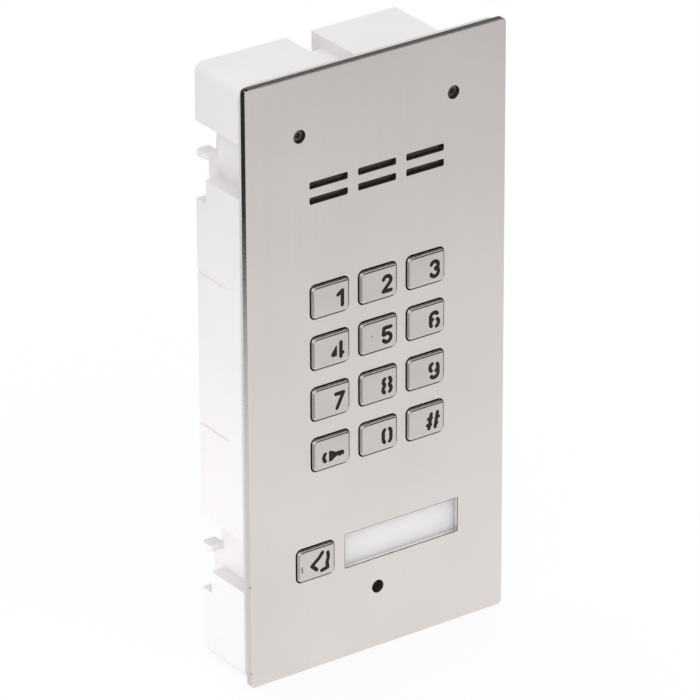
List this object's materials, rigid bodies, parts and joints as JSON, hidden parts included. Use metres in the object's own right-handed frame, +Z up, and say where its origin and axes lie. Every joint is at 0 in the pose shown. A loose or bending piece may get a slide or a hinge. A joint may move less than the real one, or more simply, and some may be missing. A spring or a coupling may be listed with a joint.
{
  "type": "door intercom panel",
  "caption": "Flush-mounted door intercom panel: brushed steel plate with a numeric keypad, call button, name window and sound slots on a white box.",
  "frame": {"origin": "rear face of the box, in the middle of its four wall holes", "axes": "+X to the right seen from the front, +Y into the wall, +Z up"},
  "size_m": [0.1, 0.0305, 0.21],
  "materials": {
    "plate_steel": "fine vertical brushing",
    "key_steel": "satin",
    "gasket_foam": "closed-cell foam, light grey",
    "box_plastic": "moulded, fine texture",
    "black_rubber": "matte",
    "zinc_steel": "zinc plated",
    "black_steel": "blackened",
    "brass": "turned",
    "black_plastic": "moulded",
    "core_plastic": "smoked light guide",
    "board_green": "solder mask",
    "lamp_resin": "diffused lens",
    "clear_insert": "polished clear plastic",
    "card_paper": "matte card",
    "tray_plastic": "translucent",
    "cone_paper": "pressed pulp",
    "magnet_iron": "plated",
    "ring_foam": "open-cell foam",
    "mesh_cloth": "woven mesh",
    "lead_insulation": "soft sleeve",
    "capsule_metal": "pressed can",
    "terminal_plastic": "moulded",
    "relay_plastic": "moulded",
    "chip_resin": "moulded",
    "can_sleeve": "shrink sleeve"
  },
  "bodies": {
    "panel": {"front_plate": "plate_steel", "plate_gasket": "gasket_foam", "back_box": "box_plastic", "cable_grommet": "black_rubber", "microphone_boot": "black_rubber", "fixing_screws": "black_steel", "screw_pads": "zinc_steel", "bottom_hooks": "zinc_steel", "plate_studs": "zinc_steel", "terminal_screws": "zinc_steel", "speaker_clips": "zinc_steel", "speaker_frame": "zinc_steel", "threaded_inserts": "brass", "stud_nuts": "brass", "key_housing": "black_plastic", "key_switches": "black_plastic", "circuit_board": "board_green", "board_lights": "lamp_resin", "name_window": "clear_insert", "name_card": "card_paper", "name_tray": "tray_plastic", "speaker_cone": "cone_paper", "speaker_magnet": "magnet_iron", "speaker_ring": "ring_foam", "speaker_mesh": "mesh_cloth", "speaker_leads": "lead_insulation", "microphone": "capsule_metal", "terminal_block": "terminal_plastic", "lock_relay": "relay_plastic", "controller_chip": "chip_resin", "amplifier_chip": "chip_resin", "capacitors": "can_sleeve"},
    "button_1": {"key_1": "key_steel", "core_1": "core_plastic"},
    "button_2": {"key_2": "key_steel", "core_2": "core_plastic"},
    "button_3": {"key_3": "key_steel", "core_3": "core_plastic"},
    "button_4": {"key_4": "key_steel", "core_4": "core_plastic"},
    "button_5": {"key_5": "key_steel", "core_5": "core_plastic"},
    "button_6": {"key_6": "key_steel", "core_6": "core_plastic"},
    "button_7": {"key_7": "key_steel", "core_7": "core_plastic"},
    "button_8": {"key_8": "key_steel", "core_8": "core_plastic"},
    "button_9": {"key_9": "key_steel", "core_9": "core_plastic"},
    "button_latch": {"key_latch": "key_steel", "core_latch": "core_plastic"},
    "button_0": {"key_0": "key_steel", "core_0": "core_plastic"},
    "button_hash": {"key_hash": "key_steel", "core_hash": "core_plastic"},
    "button_call": {"call_button": "key_steel", "core_call": "core_plastic"}
  },
  "joints": [
    {"name": "press_1", "type": "slide", "parent": "panel", "child": "button_1", "axis": [0, 1, 0], "range_m": [0, 0.0008], "stiffness_N_per_m": 1500, "springref_m": -0.0008},
    {"name": "press_2", "type": "slide", "parent": "panel", "child": "button_2", "axis": [0, 1, 0], "range_m": [0, 0.0008], "stiffness_N_per_m": 1500, "springref_m": -0.0008},
    {"name": "press_3", "type": "slide", "parent": "panel", "child": "button_3", "axis": [0, 1, 0], "range_m": [0, 0.0008], "stiffness_N_per_m": 1500, "springref_m": -0.0008},
    {"name": "press_4", "type": "slide", "parent": "panel", "child": "button_4", "axis": [0, 1, 0], "range_m": [0, 0.0008], "stiffness_N_per_m": 1500, "springref_m": -0.0008},
    {"name": "press_5", "type": "slide", "parent": "panel", "child": "button_5", "axis": [0, 1, 0], "range_m": [0, 0.0008], "stiffness_N_per_m": 1500, "springref_m": -0.0008},
    {"name": "press_6", "type": "slide", "parent": "panel", "child": "button_6", "axis": [0, 1, 0], "range_m": [0, 0.0008], "stiffness_N_per_m": 1500, "springref_m": -0.0008},
    {"name": "press_7", "type": "slide", "parent": "panel", "child": "button_7", "axis": [0, 1, 0], "range_m": [0, 0.0008], "stiffness_N_per_m": 1500, "springref_m": -0.0008},
    {"name": "press_8", "type": "slide", "parent": "panel", "child": "button_8", "axis": [0, 1, 0], "range_m": [0, 0.0008], "stiffness_N_per_m": 1500, "springref_m": -0.0008},
    {"name": "press_9", "type": "slide", "parent": "panel", "child": "button_9", "axis": [0, 1, 0], "range_m": [0, 0.0008], "stiffness_N_per_m": 1500, "springref_m": -0.0008},
    {"name": "press_latch", "type": "slide", "parent": "panel", "child": "button_latch", "axis": [0, 1, 0], "range_m": [0, 0.0008], "stiffness_N_per_m": 1500, "springref_m": -0.0008},
    {"name": "press_0", "type": "slide", "parent": "panel", "child": "button_0", "axis": [0, 1, 0], "range_m": [0, 0.0008], "stiffness_N_per_m": 1500, "springref_m": -0.0008},
    {"name": "press_hash", "type": "slide", "parent": "panel", "child": "button_hash", "axis": [0, 1, 0], "range_m": [0, 0.0008], "stiffness_N_per_m": 1500, "springref_m": -0.0008},
    {"name": "press_call", "type": "slide", "parent": "panel", "child": "button_call", "axis": [0, 1, 0], "range_m": [0, 0.0008], "stiffness_N_per_m": 1500, "springref_m": -0.0008}
  ]
}
